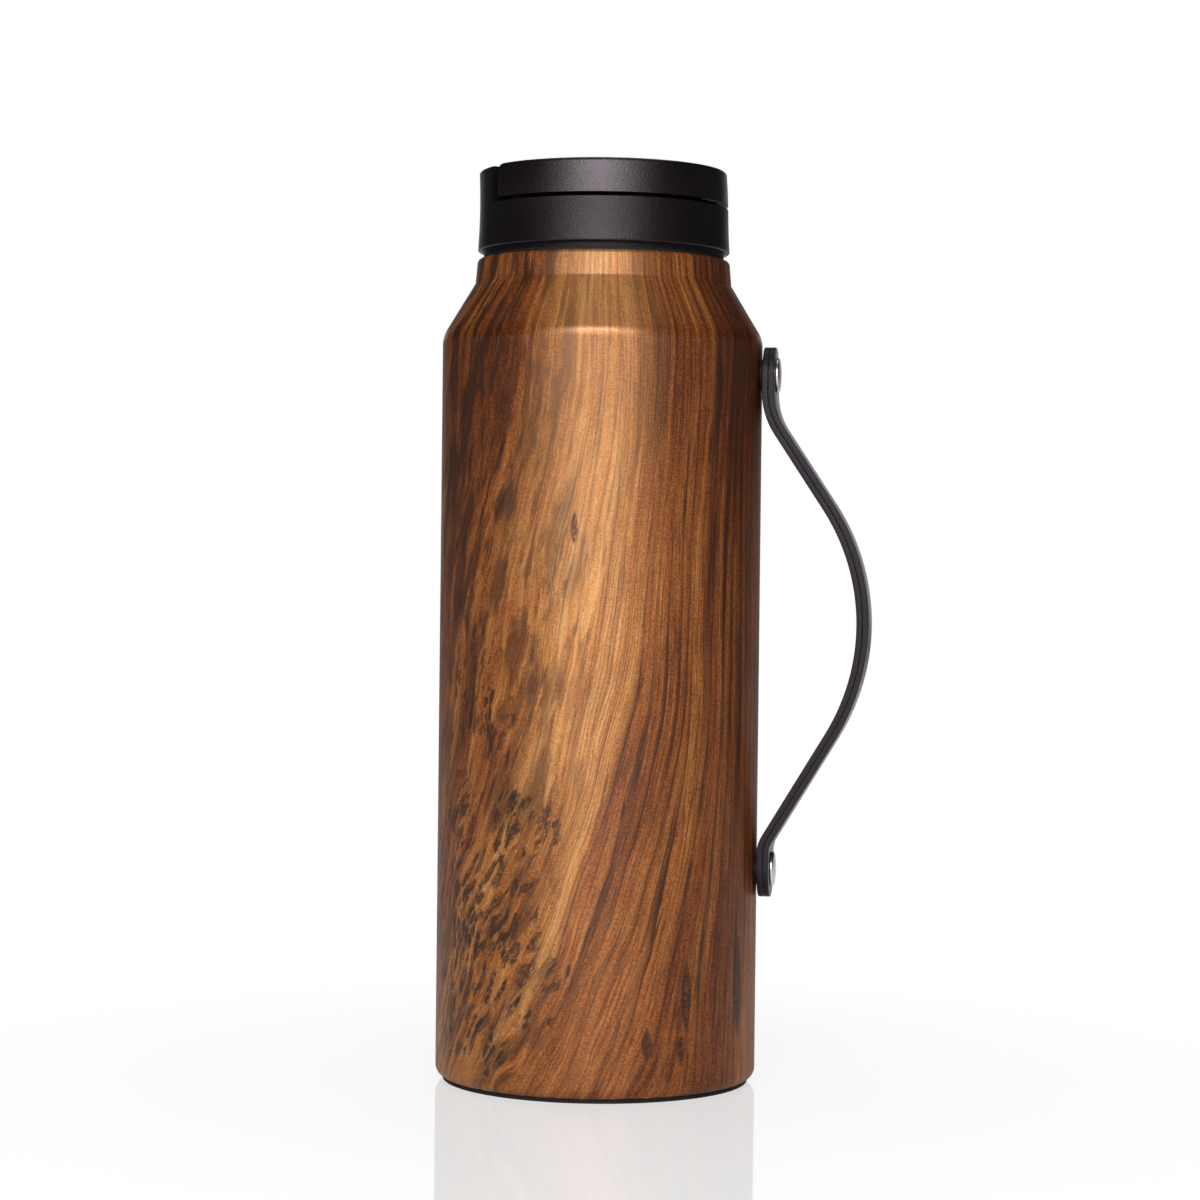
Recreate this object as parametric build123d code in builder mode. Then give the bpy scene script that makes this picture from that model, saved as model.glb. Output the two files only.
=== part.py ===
from build123d import *
import os
from math import cos, radians, sin, sqrt

# A vacuum-insulated drinking bottle with a flip-top screw cap and a riveted strap handle.
# Millimetres, Z up. The bottle's axis is the Z axis, the floor is at zero and the strap is on the +X side.

# Outer body
body_radius = 46.0
shell_wall = 0.6
bottom_corner_radius = 3.2
bottom_lip_width = 3.3
shoulder_height = 213.0
shoulder_round = 8.0
shoulder_rise = 15.3
neck_flare = 0.6
neck_crease_round = 1.2
neck_height = 7.1
neck_top_radius = 36.2
rim_round = 1.3

# Base of the body
pad_thickness = 1.0
pad_inset = 2.1
pad_width = 8.9
pad_edge_round = 0.4
recess_inset = 5.5
recess_height = 3.2
base_flange_width = 2.7
press_round = 1.0
joggle_round = 0.7
base_disc_lift = 0.3
base_disc_rim = 2.1
bond_gap = 0.05
evacuation_hole_radius = 0.8
sealing_bead_radius = 2.5
sealing_bead_height = 1.0
getter_radius = 4.5
getter_height = 1.6
getter_offset = 15.0
clip_wall = 0.3
clip_width = 4.0
clip_foot = 3.0
clip_bend_round = 0.5

# Inner vessel and the vacuum around it
vacuum_space = 3.4
vessel_wall = 0.5
vessel_base_height = 9.0
vessel_corner_radius = 10.0
vessel_shoulder_drop = 9.0
vessel_shoulder_round = 12.0
vessel_neck_round = 6.0
rim_width = 4.0
mouth_length = 16.4
mouth_flange_width = 0.9
mouth_flange_round = 0.4
foil_wall = 0.2
foil_gap = 0.1
foil_margin = 12.0

# Screw thread of the mouth and the cap
thread_starts = 2
thread_lead = 9.0
thread_span = 270.0
thread_depth = 1.1
thread_root_width = 2.2
thread_crest_width = 1.0
thread_clearance = 0.35
thread_start_depth = 11.4
thread_embed = 0.2

# Strap handle
strap_width = 17.0
ply_thickness = 1.7
strap_standoff = 0.9
rivet_below_shoulder = 10.35
rivet_spacing = 140.95
strap_end_margin = 8.0
strap_reach = 38.3
upper_bend_run = 6.7
lower_bend_run = 2.7
upper_bend_radius = 22.0
lower_bend_radius = 9.4
bow_radius = 59.4
bow_height_share = 0.506
stud_radius = 1.9
stud_fit = 0.05
stud_engagement = 0.8
spacer_radius = 4.4
rivet_head_radius = 4.9
rivet_edge_height = 0.45
rivet_head_height = 1.4

# Cap, with its front turned away from the strap
cap_front_angle = -49.5
gasket_thickness = 0.85
gasket_width = 1.7
gasket_inset = 0.2
seat_gap = 0.05
flange_thickness = 1.25
flange_lap = 0.5
spigot_height = 2.0
spigot_gap = 0.1
skirt_height = 12.5
cap_wall = 2.2
cap_waist_inset = 0.48
cap_crown_inset = 0.25
cap_edge_round = 0.5
block_edge_round = 0.8
deck_recess = 1.5
deck_thickness = 2.2
plug_wall = 2.0
plug_depth = 16.35
plug_edge_round = 0.6

# Drinking spout and its channel through the plug
channel_inset = 1.25
spout_bore_radius = 9.5
spout_wall = 2.0
spout_rise = 5.4
spout_socket = 3.4
spout_lip_round = 0.6
channel_seal_thickness = 1.0
foam_gap = 0.3

# Flip lid and its hinge
lid_gap = 1.2
flip_height = 9.55
block_drop = 0.5
flip_foot_inset = 0.55
flip_waist_inset = 0.75
flip_crown_inset = 1.1
flip_wall = 2.2
flip_top_wall = 2.0
flip_crown_round = 1.0
flip_tail = 2.26
flip_tail_upper_round = 2.0
flip_tail_lower_round = 1.4
pin_forward = 2.26
pin_depth = 4.85
pin_radius = 1.0
pin_press_fit = 0.01
pin_running_fit = 0.05
pin_end_recess = 0.25
stop_clearance = 0.4
knuckle_radius = 2.5
knuckle_width = 11.0
boss_radius = 2.55
boss_length = 2.0
boss_gap = 0.3
liner_thickness = 1.6
liner_edge_gap = 0.3
liner_setback = 4.3
stopper_lap = 1.8
stopper_seat_gap = 0.1
stopper_spigot_depth = 1.8
stopper_spigot_gap = 0.6
stopper_taper = 1.3

# One overrun serves every cut, and the keeper is a half space wider than the bottle
overrun = 2.0
keeper_size = body_radius + body_radius + overrun

# Heights and radii that follow from the sizes above
rim_height = shoulder_height + shoulder_rise + neck_height
neck_foot_height = shoulder_height + shoulder_rise
neck_foot_radius = neck_top_radius + neck_flare
mouth_radius = neck_top_radius - rim_width
shell_lip_radius = body_radius - bottom_corner_radius - bottom_lip_width
rim_weld_radius = mouth_radius + vessel_wall + mouth_flange_width
vessel_radius = body_radius - shell_wall - vacuum_space
vessel_bore_radius = vessel_radius - vessel_wall
recess_radius = shell_lip_radius - recess_inset
recess_ceiling = pad_thickness + recess_height
base_top = recess_ceiling + shell_wall

strap_inner_x = body_radius + strap_standoff
strap_outer_x = strap_inner_x + ply_thickness + ply_thickness
upper_rivet_height = shoulder_height - rivet_below_shoulder
lower_rivet_height = upper_rivet_height - rivet_spacing
rivet_heights = (upper_rivet_height, lower_rivet_height)

flange_bottom = rim_height + seat_gap + gasket_thickness + seat_gap
skirt_bottom = flange_bottom + flange_thickness
front_top = skirt_bottom + skirt_height
deck_top = front_top - deck_recess
deck_under = deck_top - deck_thickness
flip_bottom = front_top + lid_gap
flip_top = flip_bottom + flip_height
flip_ceiling = flip_top - flip_top_wall
block_top = flip_top - block_drop
plug_bottom = flange_bottom - plug_depth
plug_floor_top = plug_bottom + plug_wall

cap_radius = neck_top_radius
cap_cavity_radius = cap_radius - cap_wall
flange_radius = cap_cavity_radius + flange_lap
plug_core_radius = mouth_radius - thread_depth - thread_clearance
plug_bore_radius = plug_core_radius - plug_wall
plug_crest_radius = mouth_radius - thread_clearance

spout_outer_radius = spout_bore_radius + spout_wall
spout_offset = plug_bore_radius - channel_inset - spout_outer_radius
spout_top = deck_top + spout_rise
spout_bottom = deck_under - spout_socket
channel_top = spout_bottom - channel_seal_thickness

pin_height = flip_top - pin_depth
flip_back = pin_forward - flip_tail
flip_foot_radius = cap_radius - flip_foot_inset
flip_cavity_radius = cap_radius - flip_waist_inset - flip_wall
block_face = pin_forward - pin_depth - stop_clearance
cheek_inner = sqrt(flip_cavity_radius**2 - pin_forward**2)
boss_inner = cheek_inner - boss_length
knuckle_outer = boss_inner - boss_gap
pin_half_length = sqrt((cap_radius - flip_waist_inset) ** 2 - pin_forward**2) - pin_end_recess

# The cap's own planes: its front is local +X, and the side plane looks along the hinge pin
front_direction = (cos(radians(cap_front_angle)), sin(radians(cap_front_angle)), 0)
hinge_direction = (sin(radians(cap_front_angle)), -cos(radians(cap_front_angle)), 0)
cap_plane = Plane(origin=(0, 0, 0), x_dir=front_direction, z_dir=(0, 0, 1))
cap_side = Plane(origin=(0, 0, 0), x_dir=front_direction, z_dir=hinge_direction)

os.makedirs("parts", exist_ok=True)


def sheet_section(points, radii, wall):
    """Section of a formed sheet: a rounded outline of its outer side, thickened towards the axis."""
    with BuildSketch(Plane.XZ) as section:
        with BuildLine():
            FilletPolyline(*points, radius=radii)
            offset(amount=wall, side=Side.LEFT)
        make_face()
    return section.sketch


def ring_section(inner, outer, bottom, top):
    """Section of a plain ring between two radii and two heights."""
    with BuildSketch(Plane.XZ) as section:
        with BuildLine():
            Polyline((inner, bottom), (outer, bottom), (outer, top), (inner, top), close=True)
        make_face()
    return section.sketch


def thread_rib(root, crest, start_height):
    """One rib of the screw thread, from its root radius to its crest, winding up the axis."""
    rise = thread_lead * thread_span / 360
    with BuildPart() as rib:
        with BuildLine():
            Helix(pitch=thread_lead, height=rise, radius=root, center=(0, 0, start_height))
        with BuildSketch(Plane.XZ):
            with BuildLine():
                Polyline(
                    (root, start_height - thread_root_width / 2),
                    (crest, start_height - thread_crest_width / 2),
                    (crest, start_height + thread_crest_width / 2),
                    (root, start_height + thread_root_width / 2),
                    close=True,
                )
            make_face()
        sweep(is_frenet=True)
    return rib.part


# Outer shell: one drawn steel skin from the bottom lip over the shoulder to the rim
shell_section = sheet_section(
    [
        (shell_lip_radius, pad_thickness),
        (body_radius, pad_thickness),
        (body_radius, shoulder_height),
        (neck_foot_radius, neck_foot_height),
        (neck_top_radius, rim_height),
        (rim_weld_radius, rim_height),
    ],
    [bottom_corner_radius, shoulder_round, neck_crease_round, rim_round],
    shell_wall,
)
with BuildPart() as outer_shell:
    revolve(shell_section, axis=Axis.Z)
outer_shell.part.label = "outer_shell"
export_step(outer_shell.part, "parts/outer_shell.step")

# Inner vessel: drawn steel liner, its mouth flange welded to the shell's rim, with a two-start thread inside
vessel_section = sheet_section(
    [
        (0, vessel_base_height),
        (vessel_radius, vessel_base_height),
        (vessel_radius, shoulder_height - vessel_shoulder_drop),
        (mouth_radius + vessel_wall, rim_height - mouth_length),
        (mouth_radius + vessel_wall, rim_height - vessel_wall),
        (rim_weld_radius, rim_height - vessel_wall),
    ],
    [vessel_corner_radius, vessel_shoulder_round, vessel_neck_round, mouth_flange_round],
    vessel_wall,
)
neck_rib = thread_rib(
    mouth_radius + thread_embed, mouth_radius - thread_depth, rim_height - thread_start_depth
)
with BuildPart() as inner_vessel:
    revolve(vessel_section, axis=Axis.Z)
    with PolarLocations(0, thread_starts):
        add(neck_rib)
inner_vessel.part.label = "inner_vessel"
export_step(inner_vessel.part, "parts/inner_vessel.step")

# Copper shield: foil sleeve around the vessel, which reflects radiant heat
foil_inner = vessel_radius + foil_gap
foil_section = ring_section(
    foil_inner,
    foil_inner + foil_wall,
    vessel_base_height + vessel_corner_radius,
    shoulder_height - vessel_shoulder_drop - foil_margin,
)
with BuildPart() as copper_shield:
    revolve(foil_section, axis=Axis.Z)
copper_shield.part.label = "copper_shield"
export_step(copper_shield.part, "parts/copper_shield.step")

# Outer base: pressed cup welded behind the shell's bottom lip, with a recess round the evacuation hole
joggle_radius = shell_lip_radius - bond_gap - shell_wall
base_section = sheet_section(
    [
        (evacuation_hole_radius, recess_ceiling),
        (recess_radius, recess_ceiling),
        (recess_radius, pad_thickness),
        (joggle_radius - shell_wall, pad_thickness),
        (joggle_radius, pad_thickness + shell_wall),
        (shell_lip_radius + base_flange_width, pad_thickness + shell_wall),
    ],
    [press_round, press_round, joggle_round, joggle_round],
    shell_wall,
)
with BuildPart() as outer_base:
    revolve(base_section, axis=Axis.Z)
outer_base.part.label = "outer_base"
export_step(outer_base.part, "parts/outer_base.step")

# Vacuum plug: the braze bead that closes the evacuation hole
with BuildPart() as vacuum_plug:
    with BuildSketch(Plane.XY.offset(recess_ceiling)):
        Circle(sealing_bead_radius)
    extrude(amount=-sealing_bead_height)
    fillet(vacuum_plug.edges().sort_by(Axis.Z)[0], radius=sealing_bead_height / 2)
    with BuildSketch(Plane.XY.offset(recess_ceiling)):
        Circle(evacuation_hole_radius)
    extrude(amount=shell_wall)
vacuum_plug.part.label = "vacuum_plug"
export_step(vacuum_plug.part, "parts/vacuum_plug.step")

# Base disc: plain dished cover pressed into the recess
disc_section = sheet_section(
    [
        (0, pad_thickness + base_disc_lift),
        (recess_radius - bond_gap, pad_thickness + base_disc_lift),
        (recess_radius - bond_gap, pad_thickness + base_disc_lift + base_disc_rim),
    ],
    [press_round],
    shell_wall,
)
with BuildPart() as base_disc:
    revolve(disc_section, axis=Axis.Z)
base_disc.part.label = "base_disc"
export_step(base_disc.part, "parts/base_disc.step")

# Foot pad: rubber ring under the lip and the base cup
pad_outer = body_radius - pad_inset
pad_section = ring_section(pad_outer - pad_width, pad_outer, 0, pad_thickness)
with BuildPart() as foot_pad:
    revolve(pad_section, axis=Axis.Z)
    fillet(foot_pad.edges().group_by(Axis.Z)[0], radius=pad_edge_round)
foot_pad.part.label = "foot_pad"
export_step(foot_pad.part, "parts/foot_pad.step")

# Getter: pellet that keeps the vacuum clean, on top of the base cup
with BuildPart() as getter:
    with BuildSketch(Plane.XY.offset(base_top)):
        with Locations((getter_offset, 0)):
            Circle(getter_radius)
    extrude(amount=getter_height)
getter.part.label = "getter"
export_step(getter.part, "parts/getter.step")

# Getter clip: bent strip spot-welded over the pellet
clip_reach = getter_radius + bond_gap + clip_wall
clip_top = base_top + getter_height + bond_gap + clip_wall
with BuildPart() as getter_clip:
    with BuildSketch(Plane.XZ):
        with BuildLine():
            FilletPolyline(
                (getter_offset - clip_reach - clip_foot, base_top + clip_wall),
                (getter_offset - clip_reach, base_top + clip_wall),
                (getter_offset - clip_reach, clip_top),
                (getter_offset + clip_reach, clip_top),
                (getter_offset + clip_reach, base_top + clip_wall),
                (getter_offset + clip_reach + clip_foot, base_top + clip_wall),
                radius=clip_bend_round,
            )
            offset(amount=clip_wall, side=Side.RIGHT)
        make_face()
    extrude(amount=clip_width / 2, both=True)
getter_clip.part.label = "getter_clip"
export_step(getter_clip.part, "parts/getter_clip.step")


# Strap: two leather plies bonded back to back, bowed away from the body and rounded at both ends
def strap_outline():
    """Points of the strap's inner side, from the upper end to the lower end."""
    upper_end = upper_rivet_height + strap_end_margin
    lower_end = lower_rivet_height - strap_end_margin
    upper_bend = upper_rivet_height - rivet_head_radius - upper_bend_run
    lower_bend = lower_rivet_height + rivet_head_radius + lower_bend_run
    bow_height = lower_rivet_height + bow_height_share * rivet_spacing
    return [
        (strap_inner_x, upper_end),
        (strap_inner_x, upper_bend),
        (strap_inner_x + strap_reach, bow_height),
        (strap_inner_x, lower_bend),
        (strap_inner_x, lower_end),
    ]


def strap_side(thickness):
    """Side view of the strap from its inner side out to a thickness."""
    with BuildSketch(Plane.XZ) as side:
        with BuildLine():
            FilletPolyline(*strap_outline(), radius=[upper_bend_radius, bow_radius, lower_bend_radius])
            offset(amount=thickness, side=Side.LEFT)
        make_face()
    return side.sketch


def strap_front():
    """Front view of the strap: a straight band with half-round ends and a hole for each stud."""
    length = rivet_spacing + strap_end_margin + strap_end_margin
    with BuildSketch(Plane.YZ) as front:
        with Locations((0, upper_rivet_height - rivet_spacing / 2)):
            SlotOverall(length, strap_width, rotation=90)
        for height in rivet_heights:
            with Locations((0, height)):
                Circle(stud_radius + stud_fit, mode=Mode.SUBTRACT)
    return front.sketch


strap_depth = strap_outer_x + strap_reach
inner_ply_side = strap_side(ply_thickness)
both_plies_side = strap_side(ply_thickness + ply_thickness)
strap_front_view = strap_front()

with BuildPart() as strap_inner_ply:
    extrude(inner_ply_side, amount=strap_width / 2, both=True)
    extrude(strap_front_view, amount=strap_depth, mode=Mode.INTERSECT)
strap_inner_ply.part.label = "strap_inner_ply"
export_step(strap_inner_ply.part, "parts/strap_inner_ply.step")

with BuildPart() as strap_outer_ply:
    extrude(both_plies_side, amount=strap_width / 2, both=True)
    extrude(inner_ply_side, amount=strap_width / 2, both=True, mode=Mode.SUBTRACT)
    extrude(strap_front_view, amount=strap_depth, mode=Mode.INTERSECT)
strap_outer_ply.part.label = "strap_outer_ply"
export_step(strap_outer_ply.part, "parts/strap_outer_ply.step")

# Weld studs: two posts welded to the shell, which pass through the spacers and the strap
stud_length = strap_standoff + ply_thickness + ply_thickness + stud_engagement
with BuildPart() as weld_studs:
    with BuildSketch(Plane.YZ.offset(strap_outer_x + stud_engagement)):
        for height in rivet_heights:
            with Locations((0, height)):
                Circle(stud_radius)
    extrude(amount=-stud_length - overrun)
    Cylinder(body_radius, rim_height, align=(Align.CENTER, Align.CENTER, Align.MIN), mode=Mode.SUBTRACT)
weld_studs.part.label = "weld_studs"
export_step(weld_studs.part, "parts/weld_studs.step")

# Strap spacers: two washers that follow the round body and hold the strap off it
with BuildPart() as strap_spacers:
    with BuildSketch(Plane.YZ.offset(strap_inner_x)):
        for height in rivet_heights:
            with Locations((0, height)):
                Circle(spacer_radius)
                Circle(stud_radius + stud_fit, mode=Mode.SUBTRACT)
    extrude(amount=-strap_standoff - overrun)
    Cylinder(body_radius, rim_height, align=(Align.CENTER, Align.CENTER, Align.MIN), mode=Mode.SUBTRACT)
strap_spacers.part.label = "strap_spacers"
export_step(strap_spacers.part, "parts/strap_spacers.step")

# Rivet caps: two domed heads pressed on the studs over the strap
dome_rise = rivet_head_height - rivet_edge_height
dome_radius = (rivet_head_radius**2 + dome_rise**2) / (dome_rise + dome_rise)
with BuildPart() as rivet_caps:
    for height in rivet_heights:
        with BuildSketch(Plane.XZ):
            with BuildLine():
                Polyline(
                    (strap_outer_x + rivet_head_height, height),
                    (strap_outer_x, height),
                    (strap_outer_x, height + rivet_head_radius),
                    (strap_outer_x + rivet_edge_height, height + rivet_head_radius),
                )
                RadiusArc(
                    (strap_outer_x + rivet_edge_height, height + rivet_head_radius),
                    (strap_outer_x + rivet_head_height, height),
                    dome_radius,
                )
            make_face()
        revolve(axis=Axis((0, 0, height), (1, 0, 0)))
    with BuildSketch(Plane.YZ.offset(strap_outer_x)):
        for height in rivet_heights:
            with Locations((0, height)):
                Circle(stud_radius + stud_fit)
    extrude(amount=stud_engagement, mode=Mode.SUBTRACT)
rivet_caps.part.label = "rivet_caps"
export_step(rivet_caps.part, "parts/rivet_caps.step")

# Rim gasket: silicone ring between the rim and the plug's flange
gasket_outer = flange_radius - gasket_inset
with BuildPart() as rim_gasket:
    revolve(
        ring_section(
            gasket_outer - gasket_width,
            gasket_outer,
            rim_height + seat_gap,
            rim_height + seat_gap + gasket_thickness,
        ),
        axis=Axis.Z,
    )
rim_gasket.part.label = "rim_gasket"
export_step(rim_gasket.part, "parts/rim_gasket.step")

# Cap plug: threaded cup that closes the mouth, with the drinking channel standing in it
plug_rib = thread_rib(
    plug_core_radius - thread_embed,
    plug_crest_radius,
    rim_height - thread_start_depth - thread_lead / thread_starts / 2,
)
with BuildSketch(Plane.XZ) as plug_section:
    with BuildLine():
        Polyline(
            (0, plug_bottom),
            (plug_core_radius, plug_bottom),
            (plug_core_radius, flange_bottom),
            (flange_radius, flange_bottom),
            (flange_radius, skirt_bottom),
            (cap_cavity_radius - spigot_gap, skirt_bottom),
            (cap_cavity_radius - spigot_gap, skirt_bottom + spigot_height),
            (plug_bore_radius, skirt_bottom + spigot_height),
            (plug_bore_radius, plug_floor_top),
            (0, plug_floor_top),
            close=True,
        )
    make_face()
with BuildPart() as cap_plug:
    revolve(plug_section.sketch, axis=Axis.Z)
    fillet(cap_plug.edges().group_by(Axis.Z)[0], radius=plug_edge_round)
    with BuildSketch(cap_plane.offset(plug_bottom + plug_wall / 2)):
        with Locations((spout_offset, 0)):
            Circle(spout_outer_radius)
    extrude(amount=channel_top - plug_bottom - plug_wall / 2)
    with BuildSketch(cap_plane.offset(plug_bottom - overrun)):
        with Locations((spout_offset, 0)):
            Circle(spout_bore_radius)
    extrude(amount=channel_top - plug_bottom + overrun + overrun, mode=Mode.SUBTRACT)
    with PolarLocations(0, thread_starts):
        add(plug_rib)
cap_plug.part.label = "cap_plug"
export_step(cap_plug.part, "parts/cap_plug.step")

# Channel seal: silicone ring between the plug's channel and the spout above it
with BuildPart() as channel_seal:
    with BuildSketch(cap_plane.offset(channel_top)):
        with Locations((spout_offset, 0)):
            Circle(spout_outer_radius)
            Circle(spout_bore_radius, mode=Mode.SUBTRACT)
    extrude(amount=channel_seal_thickness)
channel_seal.part.label = "channel_seal"
export_step(channel_seal.part, "parts/channel_seal.step")

# Cap foam: insulation moulded round the channel, between the plug's floor and the deck
with BuildPart() as cap_foam:
    with BuildSketch(cap_plane.offset(plug_floor_top + foam_gap)):
        Circle(plug_bore_radius - foam_gap)
        with Locations((spout_offset, 0)):
            Circle(spout_outer_radius + foam_gap, mode=Mode.SUBTRACT)
    extrude(amount=deck_under - plug_floor_top - foam_gap - foam_gap)
cap_foam.part.label = "cap_foam"
export_step(cap_foam.part, "parts/cap_foam.step")

# Cap base: waisted skirt with a sunken deck in front, a full-height hollow block behind, the spout
# and two hinge knuckles, in one moulding
with BuildSketch(Plane.XZ) as base_outline:
    with BuildLine():
        ThreePointArc(
            (cap_radius, skirt_bottom),
            (cap_radius - cap_waist_inset, (skirt_bottom + block_top) / 2),
            (cap_radius - cap_crown_inset, block_top),
        )
        Polyline(
            (cap_radius - cap_crown_inset, block_top),
            (0, block_top),
            (0, skirt_bottom),
            (cap_radius, skirt_bottom),
        )
    make_face()
with BuildPart() as cap_base:
    revolve(base_outline.sketch, axis=Axis.Z)
    fillet(cap_base.edges().group_by(Axis.Z)[-1], radius=block_edge_round)
    with BuildSketch(cap_plane.offset(front_top)):
        with Locations((block_face, 0)):
            Rectangle(keeper_size, keeper_size, align=(Align.MIN, Align.CENTER))
    extrude(amount=block_top - front_top + overrun, mode=Mode.SUBTRACT)
    fillet(cap_base.edges().group_by(Axis.Z)[0], radius=cap_edge_round)
    with BuildSketch(cap_plane.offset(deck_top)):
        Circle(cap_cavity_radius)
        with Locations((block_face, 0)):
            Rectangle(keeper_size, keeper_size, align=(Align.MAX, Align.CENTER), mode=Mode.SUBTRACT)
    extrude(amount=deck_recess + overrun, mode=Mode.SUBTRACT)
    with BuildSketch(cap_plane.offset(skirt_bottom - overrun)):
        Circle(cap_cavity_radius)
    extrude(amount=deck_under - skirt_bottom + overrun, mode=Mode.SUBTRACT)
    with BuildSketch(cap_plane.offset(deck_under - overrun)):
        Circle(cap_cavity_radius - cap_waist_inset)
        with Locations((block_face - cap_wall, 0)):
            Rectangle(keeper_size, keeper_size, align=(Align.MIN, Align.CENTER), mode=Mode.SUBTRACT)
    extrude(amount=block_top - cap_wall - deck_under + overrun, mode=Mode.SUBTRACT)
    with BuildSketch(cap_plane.offset(spout_bottom)):
        with Locations((spout_offset, 0)):
            Circle(spout_outer_radius)
    extrude(amount=spout_top - spout_bottom)
    with BuildSketch(cap_plane.offset(spout_bottom - overrun)):
        with Locations((spout_offset, 0)):
            Circle(spout_bore_radius)
    extrude(amount=spout_top - spout_bottom + overrun + overrun, mode=Mode.SUBTRACT)
    fillet(cap_base.edges().filter_by_position(Axis.Z, spout_top, spout_top), radius=spout_lip_round)
    for side in (-1, 1):
        with BuildSketch(cap_side.offset(side * knuckle_outer)):
            with Locations((pin_forward, pin_height)):
                Circle(knuckle_radius)
            with Locations((pin_forward, deck_under + deck_thickness / 2)):
                Rectangle(
                    knuckle_radius + knuckle_radius,
                    pin_height - deck_under - deck_thickness / 2,
                    align=(Align.CENTER, Align.MIN),
                )
        extrude(amount=-side * knuckle_width)
    with BuildSketch(cap_side.offset(-cap_radius)):
        with Locations((pin_forward, pin_height)):
            Circle(pin_radius + pin_press_fit)
    extrude(amount=cap_radius + cap_radius, mode=Mode.SUBTRACT)
cap_base.part.label = "cap_base"
export_step(cap_base.part, "parts/cap_base.step")

# Hinge pin: one long steel pin across the cap, whose ends show in the flip lid's cheeks
with BuildPart() as hinge_pin:
    with BuildSketch(cap_side.offset(-pin_half_length)):
        with Locations((pin_forward, pin_height)):
            Circle(pin_radius)
    extrude(amount=pin_half_length + pin_half_length)
hinge_pin.part.label = "hinge_pin"
export_step(hinge_pin.part, "parts/hinge_pin.step")

# Flip lid: half-round shell with no wall at its hinge side, and a boss for the pin in each cheek
with BuildSketch(Plane.XZ) as flip_outline:
    with BuildLine():
        ThreePointArc(
            (flip_foot_radius, flip_bottom),
            (cap_radius - flip_waist_inset, (flip_bottom + flip_top) / 2),
            (cap_radius - flip_crown_inset, flip_top),
        )
        Polyline(
            (cap_radius - flip_crown_inset, flip_top),
            (0, flip_top),
            (0, flip_ceiling),
            (flip_cavity_radius, flip_ceiling),
            (flip_cavity_radius, flip_bottom),
            (flip_foot_radius, flip_bottom),
        )
    make_face()
with BuildSketch(cap_side) as flip_side:
    with BuildLine():
        FilletPolyline(
            (keeper_size, flip_top),
            (flip_back, flip_top),
            (flip_back, flip_bottom),
            (keeper_size, flip_bottom),
            radius=[flip_tail_upper_round, flip_tail_lower_round],
        )
        Line((keeper_size, flip_bottom), (keeper_size, flip_top))
    make_face()
with BuildPart() as flip_lid:
    revolve(flip_outline.sketch, axis=Axis.Z)
    fillet(flip_lid.edges().group_by(Axis.Z)[-1], radius=flip_crown_round)
    extrude(flip_side.sketch, amount=keeper_size, both=True, mode=Mode.INTERSECT)
    for side in (-1, 1):
        with BuildSketch(cap_side.offset(side * boss_inner)):
            with Locations((pin_forward, pin_height)):
                Circle(boss_radius)
        extrude(amount=side * (boss_length + flip_wall / 2))
    with BuildSketch(cap_side.offset(-cap_radius)):
        with Locations((pin_forward, pin_height)):
            Circle(pin_radius + pin_running_fit)
    extrude(amount=cap_radius + cap_radius, mode=Mode.SUBTRACT)
flip_lid.part.label = "flip_lid"
export_step(flip_lid.part, "parts/flip_lid.step")

# Flip liner: flat plate under the flip lid's top, which carries the stopper
with BuildPart() as flip_liner:
    with BuildSketch(cap_plane.offset(flip_ceiling)):
        Circle(flip_cavity_radius - liner_edge_gap)
        with Locations((pin_forward + liner_setback, 0)):
            Rectangle(keeper_size, keeper_size, align=(Align.MAX, Align.CENTER), mode=Mode.SUBTRACT)
    extrude(amount=-liner_thickness)
flip_liner.part.label = "flip_liner"
export_step(flip_liner.part, "parts/flip_liner.step")

# Spout stopper: silicone plug whose flange closes the spout and whose spigot enters it
stopper_top = flip_ceiling - liner_thickness
stopper_seat = spout_top + stopper_seat_gap
spigot_radius = spout_bore_radius - stopper_spigot_gap
with BuildPart() as spout_stopper:
    with BuildSketch(cap_plane.offset(stopper_seat)):
        with Locations((spout_offset, 0)):
            Circle(spout_bore_radius + stopper_lap)
    extrude(amount=stopper_top - stopper_seat)
    with BuildSketch(cap_plane.offset(stopper_seat)):
        with Locations((spout_offset, 0)):
            Circle(spigot_radius)
    with BuildSketch(cap_plane.offset(stopper_seat - stopper_spigot_depth)):
        with Locations((spout_offset, 0)):
            Circle(spigot_radius - stopper_taper)
    loft()
spout_stopper.part.label = "spout_stopper"
export_step(spout_stopper.part, "parts/spout_stopper.step")
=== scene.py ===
"""An insulated bottle with a wood-grain print, a flip-top screw cap and a riveted strap handle."""

from math import cos, degrees, pi, radians, sin, tan

import bmesh
import bpy
from mathutils import Matrix, Vector


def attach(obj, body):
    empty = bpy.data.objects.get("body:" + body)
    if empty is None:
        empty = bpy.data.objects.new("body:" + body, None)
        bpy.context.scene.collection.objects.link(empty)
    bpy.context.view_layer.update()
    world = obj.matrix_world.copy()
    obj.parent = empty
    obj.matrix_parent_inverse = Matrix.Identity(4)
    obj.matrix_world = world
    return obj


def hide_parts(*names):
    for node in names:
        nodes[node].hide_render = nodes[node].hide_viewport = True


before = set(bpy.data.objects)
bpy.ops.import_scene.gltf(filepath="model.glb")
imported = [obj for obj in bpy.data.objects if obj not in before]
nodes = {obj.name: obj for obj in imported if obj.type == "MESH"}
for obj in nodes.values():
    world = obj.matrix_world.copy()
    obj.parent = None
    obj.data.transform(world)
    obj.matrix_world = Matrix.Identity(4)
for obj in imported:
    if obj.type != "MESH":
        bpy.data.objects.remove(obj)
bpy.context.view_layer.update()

# Sizes of the frame that the scene's own pieces follow, in metres
BODY_RADIUS = 0.046
SHOULDER_HEIGHT = 0.213
PLY = 0.0017
STRAP_HALF_WIDTH = 0.0085
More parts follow.
